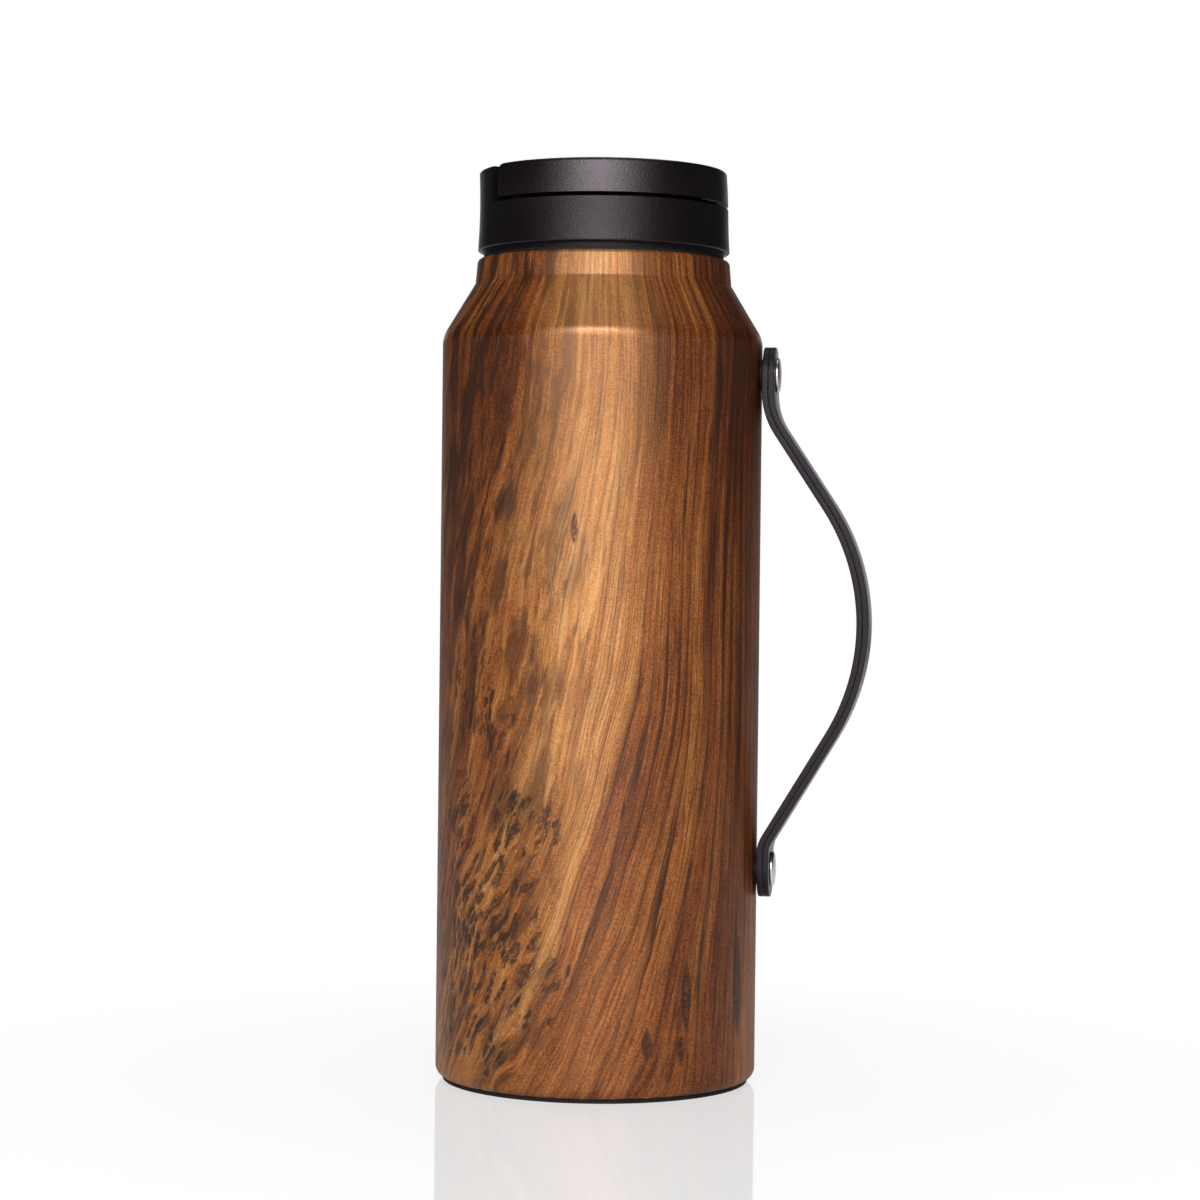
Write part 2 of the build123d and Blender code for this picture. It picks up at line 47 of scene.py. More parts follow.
STRAP_STANDOFF = 0.0009
STRAP_REACH = 0.0383
STRAP_END_MARGIN = 0.008
RIVET_HEIGHTS = (0.20265, 0.0617)
UPPER_BEND = 0.19105
LOWER_BEND = 0.0693
BOW_SHARE = 0.506
BOW_HEIGHT = RIVET_HEIGHTS[1] + BOW_SHARE * (RIVET_HEIGHTS[0] - RIVET_HEIGHTS[1])
UPPER_BEND_RADIUS = 0.022
BOW_RADIUS = 0.0594
LOWER_BEND_RADIUS = 0.0094
HEAD_RADIUS = 0.0049
HEAD_HEIGHT = 0.0014

# Fineness of the meshes: lengths in metres, the angle of a step round a bend in degrees, and counts
SEAM_GAP = 0.000002
PLY_EDGE_ROUND = 0.00024
SHEET_STEP = 0.002
BEND_STEP = 1.5
STRAP_END_POINTS = 64
HEAD_STEPS = 72

# The camera fitted to the photograph: its angle round the bottle from the strap's side, its tilt and
# its roll in degrees, its place in metres, and its lens and sensor in millimetres
CAMERA_ANGLE = -81.5
CAMERA_TILT = 0.633
CAMERA_ROLL = 0.638
CAMERA_PLACE = (0.1312, -0.8778, 0.1477)
FOCAL_LENGTH = 92.39
SENSOR_WIDTH = 36

# Strength of the world as light on the object and in its reflections, against 1 for white
ROOM_LIGHT = 0.18
ROOM_REFLECTION = 0.025


def round_from_camera(angle):
    """The angle from the strap, in radians, of what lies at an angle in degrees round from the camera."""
    return radians(angle + CAMERA_ANGLE)


def on_wall(angle, height):
    """The place on the body's wall at an angle in degrees round from the camera and at a height."""
    around = round_from_camera(angle)
    return BODY_RADIUS * cos(around), BODY_RADIUS * sin(around), height


class Value:
    """A socket in a material's nodes. Arithmetic on it adds Math nodes, and node() any other kind."""

    def __init__(self, tree, socket=None):
        self.tree = tree
        self.socket = socket

    def node(self, kind, settings=None, sockets=None, result=0):
        """One of the outputs of a new node, with its settings made and its sockets linked or set."""
        made = self.tree.nodes.new(kind)
        for name, setting in (settings or {}).items():
            if name == "stops":
                # A new ramp already has two stops
                ramp = made.color_ramp
                for place, color in setting[2:]:
                    ramp.elements.new(place)
                for element, (place, color) in zip(ramp.elements, sorted(setting)):
                    element.position = place
                    element.color = (*color, 1)
            else:
                setattr(made, name, setting)
        for name, value in (sockets or {}).items():
            if isinstance(value, Value):
                self.tree.links.new(value.socket, made.inputs[name])
            else:
                made.inputs[name].default_value = value
        return Value(self.tree, made.outputs[result])

    def math(self, operation, *others):
        sockets = dict(enumerate((self, *others)))
        return self.node("ShaderNodeMath", {"operation": operation}, sockets)

    def __add__(self, other):
        return self.math("ADD", other)

    __radd__ = __add__

    def __mul__(self, other):
        return self.math("MULTIPLY", other)

    __rmul__ = __mul__

    def __sub__(self, other):
        return self.math("SUBTRACT", other)

    def __rsub__(self, other):
        return self.node("ShaderNodeMath", {"operation": "SUBTRACT"}, {0: other, 1: self})

    def __truediv__(self, other):
        return self.math("DIVIDE", other)

    def __pow__(self, other):
        return self.math("POWER", other)

    def parts(self):
        """The three numbers of a vector."""
        return [self.node("ShaderNodeSeparateXYZ", None, {0: self}, k) for k in range(3)]

    def vector(self, x, y, z):
        """A vector of three numbers."""
        return self.node("ShaderNodeCombineXYZ", None, {0: x, 1: y, 2: z})

    def length(self):
        """The length of a vector."""
        return self.node("ShaderNodeVectorMath", {"operation": "LENGTH"}, {0: self}, "Value")

    def distance(self, spot):
        """The distance from a fixed place."""
        return self.node("ShaderNodeVectorMath", {"operation": "DISTANCE"}, {0: self, 1: spot}, "Value")

    def stretched(self, x, y, z):
        """A vector with each of its numbers multiplied."""
        return self.node("ShaderNodeVectorMath", {"operation": "MULTIPLY"}, {0: self, 1: (x, y, z)})

    def noise(self, x, y, z, detail=2.0, roughness=0.5, distortion=0.0):
        """Smooth noise from 0 to 1, with x, y and z waves to the metre."""
        return self.node(
            "ShaderNodeTexNoise",
            None,
            {
                "Vector": self.stretched(x, y, z),
                "Scale": 1.0,
                "Detail": detail,
                "Roughness": roughness,
                "Distortion": distortion,
            },
        )

    def cells(self, x, y, z, feature="F1", result=0):
        """Distance to a scattered point or to its cell's edge, with x, y and z points to the metre."""
        return self.node(
            "ShaderNodeTexVoronoi",
            {"feature": feature},
            {"Vector": self.stretched(x, y, z), "Scale": 1.0},
            result,
        )

    def between(self, low, high):
        """0 below one value, 1 above the other, and smooth in between."""
        return self.node(
            "ShaderNodeMapRange",
            {"interpolation_type": "SMOOTHSTEP"},
            {"Value": self, "From Min": low, "From Max": high},
        )

    def ramp(self, *stops):
        """A colour from stops, each a value and the colour there."""
        return self.node("ShaderNodeValToRGB", {"stops": stops}, {0: self})

    def mixed(self, first, second):
        """The first colour where this value is 0 and the second where it is 1."""
        ends = [c if isinstance(c, Value) else (*c, 1) for c in (first, second)]
        # Sockets 6 and 7 and output 2 are the node's colours, which share their names with its numbers
        sockets = {0: self, 6: ends[0], 7: ends[1]}
        return self.node("ShaderNodeMix", {"data_type": "RGBA"}, sockets, 2)


def finish_of(name, color=(0.5, 0.5, 0.5), roughness=0.5, metallic=0.0, **constants):
    """A material whose shader has these values, and the Object coordinates to build its pattern on."""
    made = bpy.data.materials.new(name)
    made.use_nodes = True
    tree = made.node_tree
    shader = tree.nodes["Principled BSDF"]
    shader.inputs["Base Color"].default_value = (*color, 1)
    shader.inputs["Roughness"].default_value = roughness
    shader.inputs["Metallic"].default_value = metallic
    for socket, value in constants.items():
        shader.inputs[socket.replace("_", " ").title().replace("Ior", "IOR")].default_value = value
    place = Value(tree).node("ShaderNodeTexCoord", result="Object")
    return made, place


def feed(made, socket, value):
    """Links a value to a socket of the material's shader."""
    made.node_tree.links.new(value.socket, made.node_tree.nodes["Principled BSDF"].inputs[socket])


def raise_bumps(made, height, distance, strength=1.0):
    """Bump from a height between 0 and 1 that stands for a distance in metres."""
    sockets = {"Strength": strength, "Distance": distance, "Height": height}
    feed(made, "Normal", height.node("ShaderNodeBump", None, sockets))


def srgb(red, green, blue):
    """The linear colour that the shader needs, from one written from 0 to 255 as in a paint program."""
    shares = [c / 255 for c in (red, green, blue)]
    return tuple(((s + 0.055) / 1.055) ** 2.4 if s > 0.04045 else s / 12.92 for s in shares)


# Wood-grain print

# Direction of the burl from the bottle's axis, and the height below which the grain leans
BURL_DIRECTION = (-0.989, -0.148)
LEAN_TOP = 0.235

# Growth lines in a full turn of the grain, which are whole numbers, so that the print has no seam
WIDE_LINES = 80
FINE_LINES = 344

# Clusters of burl eyes: the angle round from the camera in degrees, and the height and radius in metres
EYE_CLUSTERS = (
    (-62, 0.128, 0.018),
    (-64, 0.162, 0.012),
    (-40, 0.103, 0.010),
    (-61, 0.079, 0.014),
    (-26, 0.073, 0.012),
    (-36, 0.054, 0.015),
    (-52, 0.033, 0.026),
    (-17, 0.036, 0.007),
    (-80, 0.052, 0.020),
    (-67, 0.028, 0.018),
    (-38, 0.014, 0.008),
    (-118, 0.050, 0.026),
    (-150, 0.110, 0.022),
)

# Single long eyes: the angle round from the camera in degrees, and the height, half the width and
# half the length in metres
LONG_EYES = (
    (33, 0.029, 0.0018, 0.0100),
    (31, 0.0145, 0.0013, 0.0042),
    (18, 0.0165, 0.0016, 0.0046),
    (60, 0.030, 0.0024, 0.0150),
    (-9, 0.158, 0.0011, 0.0050),
    (118, 0.090, 0.0018, 0.0110),
    (147, 0.150, 0.0015, 0.0080),
)

# Cells to the metre across and along the grain, from which the eyes are taken
EYE_CELLS = (400, 400, 105)
SMALL_EYE_CELLS = (820, 820, 210)


def printed_grain(place):
    """Coordinates wrapped on the shell, the same turned with the grain, and 0 to 1 towards the burl."""
    x, y, z = place.parts()

    # A hair is added, so that nothing is divided by zero on the bottle's axis
    reach = place.vector(x, y, 0).length() + 0.00001
    side_x, side_y = x / reach, y / reach
    burl_side = 0.5 + 0.5 * (side_x * BURL_DIRECTION[0] + side_y * BURL_DIRECTION[1])

    # Wrapped on the shell, the print keeps its width in angle over the shoulder and the neck
    wrapped = place.vector(side_x * BODY_RADIUS, side_y * BODY_RADIUS, z)
    flat_x, flat_y, height = wrapped.parts()

    # The grain runs up the bottle, and is turned about its axis more and more down the burl side
    fall = (1 - height / LEAN_TOP).math("MAXIMUM", 0)
    drift = wrapped.noise(12, 12, 7, 1) - 0.5
    ripple = wrapped.noise(60, 60, 26, 2) - 0.5
    sway = burl_side * (fall**3 * 0.4 + fall * 0.95)
    turn = sway + drift * 0.4 + ripple * (burl_side**2 * 0.20 + 0.01)
    turned_cos, turned_sin = turn.math("COSINE"), turn.math("SINE")
    grain_x = flat_x * turned_cos - flat_y * turned_sin
    grain_y = flat_x * turned_sin + flat_y * turned_cos
    return wrapped, place.vector(grain_x, grain_y, height), burl_side


def near_clusters(wrapped):
    """1 at the middle of each cluster of burl eyes, to 0 outside it."""
    near = 0.0
    for angle, height, size in EYE_CLUSTERS:
        apart = wrapped.distance(on_wall(angle, height)) / size
        near = (1 - apart.between(0.3, 1.35)).math("MAXIMUM", near)
    return near


def long_eyes(wrapped, ragged):
    """1 in the single long eyes, which are pointed at both ends, to 0 outside them."""
    flat_x, flat_y, height = wrapped.parts()
    eyes = 0.0
    for angle, level, half_width, half_length in LONG_EYES:
        spot_x, spot_y, spot_height = on_wall(angle, level)
        around = round_from_camera(angle)
        beside = ((flat_y - spot_y) * cos(around) - (flat_x - spot_x) * sin(around)) / half_width
        above = (height - spot_height) / half_length
        apart = beside.math("ABSOLUTE") + above * above + ragged * 1.8
        facing = (flat_x * spot_x + flat_y * spot_y).between(0, BODY_RADIUS**2 * 0.5)
        eyes = ((1 - apart.between(0.7, 1.2)) * facing).math("MAXIMUM", eyes)
    return eyes


def wood_print():
    """Satin film over a printed grain, which leans on one side and has burl eyes low on that side."""
    made, place = finish_of(
        "wood_print_film",
        roughness=0.46,
        metallic=0.32,
        specular_ior_level=0.5,
        specular_tint=(0.88, 0.84, 0.8, 1.0),
    )
    wrapped, grain, burl_side = printed_grain(place)
    grain_x, grain_y, height = grain.parts()

    def column(angle, narrow, wide):
        """1 within a narrow angle of a stripe of the grain, to 0 past a wide one, all in degrees."""
        around = round_from_camera(angle)
        beside = (grain_x * cos(around) + grain_y * sin(around)) / BODY_RADIUS
        return beside.between(cos(radians(wide)), cos(radians(narrow)))

    bands = grain.noise(62, 62, 4, 3, 0.55, 0.4)
    streaks = grain.noise(250, 250, 9, 4, 0.6)
    lines = grain.noise(950, 950, 30, 3, 0.6)
    fibres = grain.noise(2600, 2600, 130, 2, 0.6)
    specks = grain.noise(2300, 2300, 800, 2, 0.6)
    mottle = wrapped.noise(1500, 1500, 2600, 2, 0.7)
    burl = burl_side.between(0.45, 0.9)

    # Ground tone: bands and fibres, darker towards the strap and up to the shoulder, lighter above it,
    # with painted light near the foot and a painted highlight along the front
    tone = 0.5 + 0.28 * (bands - 0.5) + 0.27 * (streaks - 0.5) + 0.22 * (lines - 0.5)
    tone = tone + 0.16 * (fibres - 0.5) + 0.32 * (mottle - 0.5)
    tone = tone - 0.085 * column(70, 6, 28) - 0.035 * column(42, 8, 34) - 0.01 * burl
    # Lighter below 2 to 8 cm up, which is painted light from the pale floor
    tone = tone + 0.03 - 0.018 * height.between(0.02, 0.08) - 0.06 * height.between(0.145, 0.2)
    tone = tone + 0.045 * height.between(0.208, 0.222)
    # A little darker at 42 degrees to the left, and lighter along the stripe that faces the camera and
    # the lamps, which is a painted highlight
    tone = tone - 0.015 * column(-42, 4, 24) + 0.012 * column(-2, 6, 26)
    wood = tone.ramp(
        (0.34, srgb(60, 27, 11)),
        (0.42, srgb(110, 55, 21)),
        (0.49, srgb(147, 84, 37)),
        (0.56, srgb(172, 113, 58)),
        (0.64, srgb(190, 139, 84)),
    )
    dark_brown = srgb(48, 24, 13)

    # Growth lines: long and dark, broken along their length, strongest away from the burl and thinned
    # along the front stripe as a painted highlight
    turns = grain_y.math("ARCTAN2", grain_x) * (WIDE_LINES / (2 * pi))
    growth = turns + grain.noise(46, 46, 1.3, 2, 0.5, 0.1) * 9 + streaks * 1.2
    wide = growth.math("FRACT")
    wide_lines = wide.between(0.45, 0.93) * (1 - wide.between(0.93, 1.0))
    fine = (growth * (FINE_LINES / WIDE_LINES)).math("FRACT")
    fine_lines = fine.between(0.55, 0.9) * (1 - fine.between(0.93, 1.0)) * 0.5
    strength = wrapped.noise(45, 45, 9, 2).between(0.26, 0.50)
    # Fewer lines along the stripe that faces the camera and the lamps, which paints it lighter as a
    # highlight
    strength = strength * (0.96 - 0.46 * burl - 0.58 * column(0, 8, 30))
    strength = strength * (0.35 + 0.65 * height.between(0.012, 0.085))
    strength = strength * (0.42 + 0.58 * grain.noise(170, 170, 15, 2).between(0.40, 0.60))
    darkness = wide_lines * strength + fine_lines * (1 - burl * 0.6)
    wood = darkness.math("MINIMUM", 0.9).mixed(wood, dark_brown)

    # Flames on the burl side, then flecks and pores, and a painted golden highlight at the front near the
    # shoulder
    flames = grain.noise(215, 215, 38, 4, 0.62).between(0.48, 0.61) * burl_side.between(0.38, 0.82)
    flames = flames * (0.62 + 0.28 * height.between(0.11, 0.18))
    wood = flames.mixed(wood, srgb(58, 31, 19))
    flecks = grain.noise(460, 460, 56, 3, 0.6).between(0.53, 0.67) * (0.25 + 0.6 * burl)
    wood = flecks.mixed(wood, dark_brown)
    pores = specks.between(0.60, 0.70) * lines.between(0.40, 0.58) * 0.5
    wood = pores.mixed(wood, dark_brown)
    # A painted highlight: the wood is mixed towards gold along the stripe that faces the camera and the
    # lamps, from 12 to 19 cm up
    golden_highlight = 0.2 * column(-2, 8, 30) * height.between(0.12, 0.19)
    wood = golden_highlight.mixed(wood, srgb(154, 120, 76))

    # Burl eyes: dark cells drawn out along the grain, packed in clusters, with small ones around them
    near = near_clusters(wrapped)
    ragged = (specks - 0.5) * 0.35 + (lines - 0.5) * 0.25
    chance = grain.cells(*EYE_CELLS, result="Color").parts()[0]
    rim = grain.cells(*EYE_CELLS, feature="DISTANCE_TO_EDGE") + ragged
    eyes = rim.between(0.03, 0.30) * (near * 0.95 - chance).between(0.0, 0.1)
    eyes = eyes * (1 - 0.45 * height.between(0.085, 0.12))
    small_chance = grain.cells(*SMALL_EYE_CELLS, result="Color").parts()[0]
    small_rim = grain.cells(*SMALL_EYE_CELLS, feature="DISTANCE_TO_EDGE") + ragged
    spread = burl * wrapped.noise(60, 60, 28, 2).between(0.45, 0.65) * 0.5 + near * 0.3
    small_eyes = small_rim.between(0.08, 0.24) * (spread - small_chance).between(0.0, 0.1)

    eyes = long_eyes(wrapped, ragged).math("MAXIMUM", eyes)
    eye_depth = 0.45 + 0.45 * specks.between(0.38, 0.54)
    wood = (eyes * eye_depth).mixed(wood, srgb(50, 29, 21))
    small_eye_depth = 0.85 - 0.5 * height.between(0.11, 0.14)
    wood = (small_eyes * small_eye_depth).mixed(wood, srgb(48, 27, 19))
    feed(made, "Base Color", wood)

    # The film is smoother where it is stretched over the shoulder's edge
    above_edge = height - SHOULDER_HEIGHT
    edge = above_edge.between(-0.0024, -0.0008) * (1 - above_edge.between(0.0004, 0.0020))
    uneven = 0.06 * fibres + 0.05 * (wrapped.noise(25, 25, 25) - 0.5)
    feed(made, "Roughness", 0.43 + uneven - 0.16 * edge)
    raise_bumps(made, fibres * 0.5 + place.noise(1500, 1500, 1500) * 0.5, 0.00001, 0.35)
    return made


# Other finishes


def brushed_steel():
    """Drawn steel, brushed round the bottle's axis."""
    made, place = finish_of("brushed_steel", srgb(196, 194, 191), 0.3, 1.0)
    x, y, z = place.parts()
    reach = place.vector(x, y, 0).length()
    turning = place.vector(reach, 0, z).noise(9000, 1, 9000, 2, 0.6)
    cloudy = place.noise(60, 60, 60, 3)
    shade = cloudy * 0.5 + turning * 0.5
    feed(made, "Base Color", shade.ramp((0.3, srgb(176, 174, 172)), (0.7, srgb(208, 206, 203))))
    feed(made, "Roughness", 0.22 + 0.22 * turning + 0.1 * cloudy)
    raise_bumps(made, turning, 0.000004, 0.5)
    return made


def polished_steel():
    """Bright steel with fine scratches and smudges."""
    made, place = finish_of("polished_steel", srgb(222, 220, 217), 0.14, 1.0)
    scratches = place.noise(500, 9000, 9000, 3, 0.6)
    smudges = place.noise(260, 260, 260, 3)
    feed(made, "Base Color", smudges.ramp((0.3, srgb(206, 203, 200)), (0.7, srgb(232, 230, 228))))
    feed(made, "Roughness", 0.2 + 0.1 * scratches + 0.12 * smudges)
    raise_bumps(made, scratches * 0.6 + smudges * 0.4, 0.000008, 0.4)
    return made


def blackened_steel():
    """Oil-blackened steel pin, ground round."""
    made, place = finish_of("blackened_steel", srgb(54, 52, 54), 0.35, 1.0)
    ground = place.noise(2400, 2400, 2400, 3, 0.6)
    feed(made, "Base Color", ground.ramp((0.35, srgb(40, 38, 40)), (0.65, srgb(66, 64, 66))))
    feed(made, "Roughness", 0.28 + 0.2 * ground)
    raise_bumps(made, ground, 0.00001, 0.5)
    return made


def bare_copper():
    """Copper foil, slightly crinkled."""
    made, place = finish_of("copper_foil", srgb(200, 128, 88), 0.3, 1.0)
    crinkle = place.noise(240, 240, 160, 4, 0.6)
    feed(made, "Base Color", crinkle.ramp((0.3, srgb(176, 104, 70)), (0.7, srgb(214, 146, 106))))
    feed(made, "Roughness", 0.2 + 0.25 * crinkle)
    raise_bumps(made, crinkle, 0.0002, 0.5)
    return made


def braze_bead():
    """A melted bead of braze."""
    made, place = finish_of("braze_bead", srgb(184, 166, 128), 0.35, 1.0)
    flow = place.noise(700, 700, 700, 3)
    feed(made, "Base Color", flow.ramp((0.3, srgb(150, 130, 96)), (0.7, srgb(200, 184, 146))))
    feed(made, "Roughness", 0.25 + 0.3 * flow)
    raise_bumps(made, flow, 0.0001, 0.6)
    return made


def sintered_getter():
    """Grey sintered metal powder."""
    made, place = finish_of("sintered_getter", srgb(96, 96, 98), 0.7, 0.6)
    grit = place.noise(5000, 5000, 5000, 3, 0.7)
    feed(made, "Base Color", grit.ramp((0.3, srgb(70, 70, 72)), (0.7, srgb(120, 120, 122))))
    feed(made, "Roughness", 0.6 + 0.3 * grit)
    raise_bumps(made, grit, 0.00008, 0.8)
    return made


def black_rubber():
    """Matt black rubber with a little dust."""
    made, place = finish_of("black_rubber", srgb(18, 17, 18), 0.68, specular_ior_level=0.25)
    grit = place.noise(3800, 3800, 3800, 3, 0.65)
    dusty = place.noise(90, 90, 90, 3)
    shade = grit * 0.4 + dusty * 0.6
    feed(made, "Base Color", shade.ramp((0.35, srgb(13, 12, 13)), (0.65, srgb(24, 22, 24))))
    feed(made, "Roughness", 0.58 + 0.2 * dusty)
    raise_bumps(made, grit, 0.00003, 0.5)
    return made


def clear_silicone():
    """Cloudy white silicone."""
    made, place = finish_of("clear_silicone", srgb(214, 212, 206), 0.4, specular_ior_level=0.4)
    cloudy = place.noise(400, 400, 400, 3)
    feed(made, "Base Color", cloudy.ramp((0.3, srgb(200, 198, 192)), (0.7, srgb(222, 220, 215))))
    feed(made, "Roughness", 0.34 + 0.16 * cloudy)
    raise_bumps(made, cloudy, 0.00003, 0.4)
    return made


def grey_silicone():
    """Dark grey silicone."""
    made, place = finish_of("grey_silicone", srgb(92, 92, 94), 0.5, specular_ior_level=0.4)
    cloudy = place.noise(500, 500, 500, 3)
    feed(made, "Base Color", cloudy.ramp((0.3, srgb(80, 80, 83)), (0.7, srgb(104, 104, 106))))
    feed(made, "Roughness", 0.42 + 0.18 * cloudy)
    raise_bumps(made, place.noise(3000, 3000, 3000, 2), 0.00002, 0.5)
    return made


def cap_moulding(name, base_roughness, gloss):
    """Black polypropylene with the fine spark texture of its mould."""
    made, place = finish_of(
        name,
        srgb(12, 9, 11),
        base_roughness,
        specular_ior_level=gloss,
        specular_tint=(1.0, 0.88, 0.96, 1.0),
    )
    spark = place.noise(1700, 1700, 1700, 3, 0.75)
    handled = place.noise(70, 70, 70, 3)
    shade = spark * 0.5 + handled * 0.5
    feed(made, "Base Color", shade.ramp((0.35, srgb(4, 2, 3)), (0.65, srgb(8, 4, 6))))
    feed(made, "Roughness", base_roughness - 0.04 + 0.08 * handled + 0.04 * (spark - 0.5))
    raise_bumps(made, spark, 0.00012, 0.9)
    return made


def rigid_foam():
    """Pale foam with closed pores."""
    made, place = finish_of("rigid_foam", srgb(226, 220, 196), 0.85)
    pores = place.cells(1800, 1800, 1800)
    feed(made, "Base Color", pores.ramp((0.1, srgb(196, 188, 160)), (0.6, srgb(232, 227, 206))))
    feed(made, "Roughness", 0.8 + 0.15 * pores)
    raise_bumps(made, pores, 0.0002, 0.7)
    return made


def leather_face():
    """Black strap leather: fine pebble grain with pores and a little wear."""
    made, place = finish_of(
        "strap_leather_face",
        srgb(24, 21, 24),
        0.45,
        specular_ior_level=0.5,
        specular_tint=(1.0, 0.88, 0.98, 1.0),
    )
    pebbles = place.cells(1500, 1500, 1500)
    fine = place.noise(5200, 5200, 5200, 3, 0.6)
    wear = place.noise(110, 110, 60, 3)
    shade = pebbles * 0.5 + wear * 0.5
    feed(made, "Base Color", shade.ramp((0.2, srgb(16, 13, 16)), (0.6, srgb(30, 27, 30))))
    feed(made, "Roughness", 0.2 + 0.16 * wear + 0.1 * fine)
    raise_bumps(made, pebbles * 0.75 + fine * 0.25, 0.00006, 0.6)
    return made


def leather_edge():
    """Cut edge of the strap, sealed with edge paint: smooth with a faint fibre along its length."""
    made, place = finish_of(
        "strap_edge_paint",
        srgb(16, 13, 17),
        0.5,
        specular_ior_level=0.28,
        specular_tint=(1.0, 0.9, 1.0, 1.0),
    )
    fibre = place.noise(2600, 900, 300, 3, 0.6)
    patchy = place.noise(180, 180, 90, 3)
    shade = fibre * 0.6 + patchy * 0.4
    feed(made, "Base Color", shade.ramp((0.35, srgb(11, 8, 12)), (0.65, srgb(21, 16, 22))))
    feed(made, "Roughness", 0.42 + 0.16 * patchy + 0.1 * fibre)
    raise_bumps(made, fibre, 0.00003, 0.5)
    return made


steel = brushed_steel()
bright_steel = polished_steel()
rubber = black_rubber()
cap_satin = cap_moulding("cap_satin", 0.40, 0.34)
face_leather = leather_face()
edge_leather = leather_edge()

FINISHES = {
    "outer_shell": wood_print(),
    "inner_vessel": steel,
    "copper_shield": bare_copper(),
    "outer_base": steel,
    "base_disc": steel,
    "vacuum_plug": braze_bead(),
    "foot_pad": rubber,
    "getter": sintered_getter(),
    "getter_clip": steel,
    "weld_studs": bright_steel,
    "strap_spacers": rubber,
    "rim_gasket": rubber,
    "cap_base": cap_satin,
    "cap_plug": cap_moulding("plug_satin", 0.5, 0.2),
    "cap_foam": rigid_foam(),
    "channel_seal": clear_silicone(),
    "hinge_pin": blackened_steel(),
    "flip_lid": cap_moulding("lid_satin", 0.34, 0.6),
    "flip_liner": cap_satin,
    "spout_stopper": grey_silicone(),
}
for node, finish in FINISHES.items():
    for slot in nodes[node].material_slots:
        slot.material = finish


# Pieces of the scene's own


def begin(name):
    """An empty mesh object in edit mode, with nothing else selected."""
    bpy.ops.object.select_all(action="DESELECT")
    bpy.ops.mesh.primitive_plane_add(size=0.01)
    piece = bpy.context.object
    piece.name = name
    piece.data.name = name
    bpy.ops.object.mode_set(mode="EDIT")
    bpy.ops.mesh.select_mode(type="VERT")
    bpy.ops.mesh.select_all(action="SELECT")
    bpy.ops.mesh.delete(type="VERT")
    return piece


def pick_edges(piece, wanted):
    """Selects the edges that a test on their middle picks, and nothing else."""
    bpy.ops.mesh.select_all(action="DESELECT")
    bpy.ops.mesh.select_mode(type="EDGE")
    shape = bmesh.from_edit_mesh(piece.data)
    for edge in shape.edges:
        edge.select_set(wanted((edge.verts[0].co + edge.verts[1].co) / 2))
    shape.select_flush_mode()
    bmesh.update_edit_mesh(piece.data)


def close_seams():
    """Joins the points of all seams in edit mode and turns the faces outwards."""
    bpy.ops.mesh.select_all(action="SELECT")
    bpy.ops.mesh.remove_doubles(threshold=SEAM_GAP)
    bpy.ops.mesh.normals_make_consistent(inside=False)


def complete(piece, body, materials, smooth=35):
    """Closes and smooths the piece, gives it its materials, and rides it on its body."""
    for material in materials:
        piece.data.materials.append(material)
    bpy.ops.object.select_all(action="DESELECT")
    piece.select_set(True)
    bpy.context.view_layer.objects.active = piece
    bpy.ops.object.transform_apply(location=True, rotation=True, scale=True)
    bpy.ops.object.mode_set(mode="EDIT")
    close_seams()
    bpy.ops.object.mode_set(mode="OBJECT")
    bpy.ops.object.shade_smooth_by_angle(angle=radians(smooth))
    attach(piece, body)


def apply_modifier(piece, kind, **settings):
    """Adds a modifier and applies it."""
    bpy.context.view_layer.objects.active = piece
    made = piece.modifiers.new(kind.title(), kind)
    for name, value in settings.items():
        setattr(made, name, value)
    bpy.ops.object.modifier_apply(modifier=made.name)


def half_disc(x, height, upper):
    """Adds a half-round end of the strap, standing across it, and keeps its upper or lower half."""
    bpy.ops.mesh.primitive_circle_add(
        vertices=STRAP_END_POINTS,
        radius=STRAP_HALF_WIDTH,
        fill_type="NGON",
        location=(x, 0, height),
        rotation=(0, pi / 2, 0),
    )
    bpy.ops.mesh.bisect(
        plane_co=(x, 0, height),
        plane_no=(0, 0, 1 if upper else -1),
        clear_inner=True,
        clear_outer=False,
    )


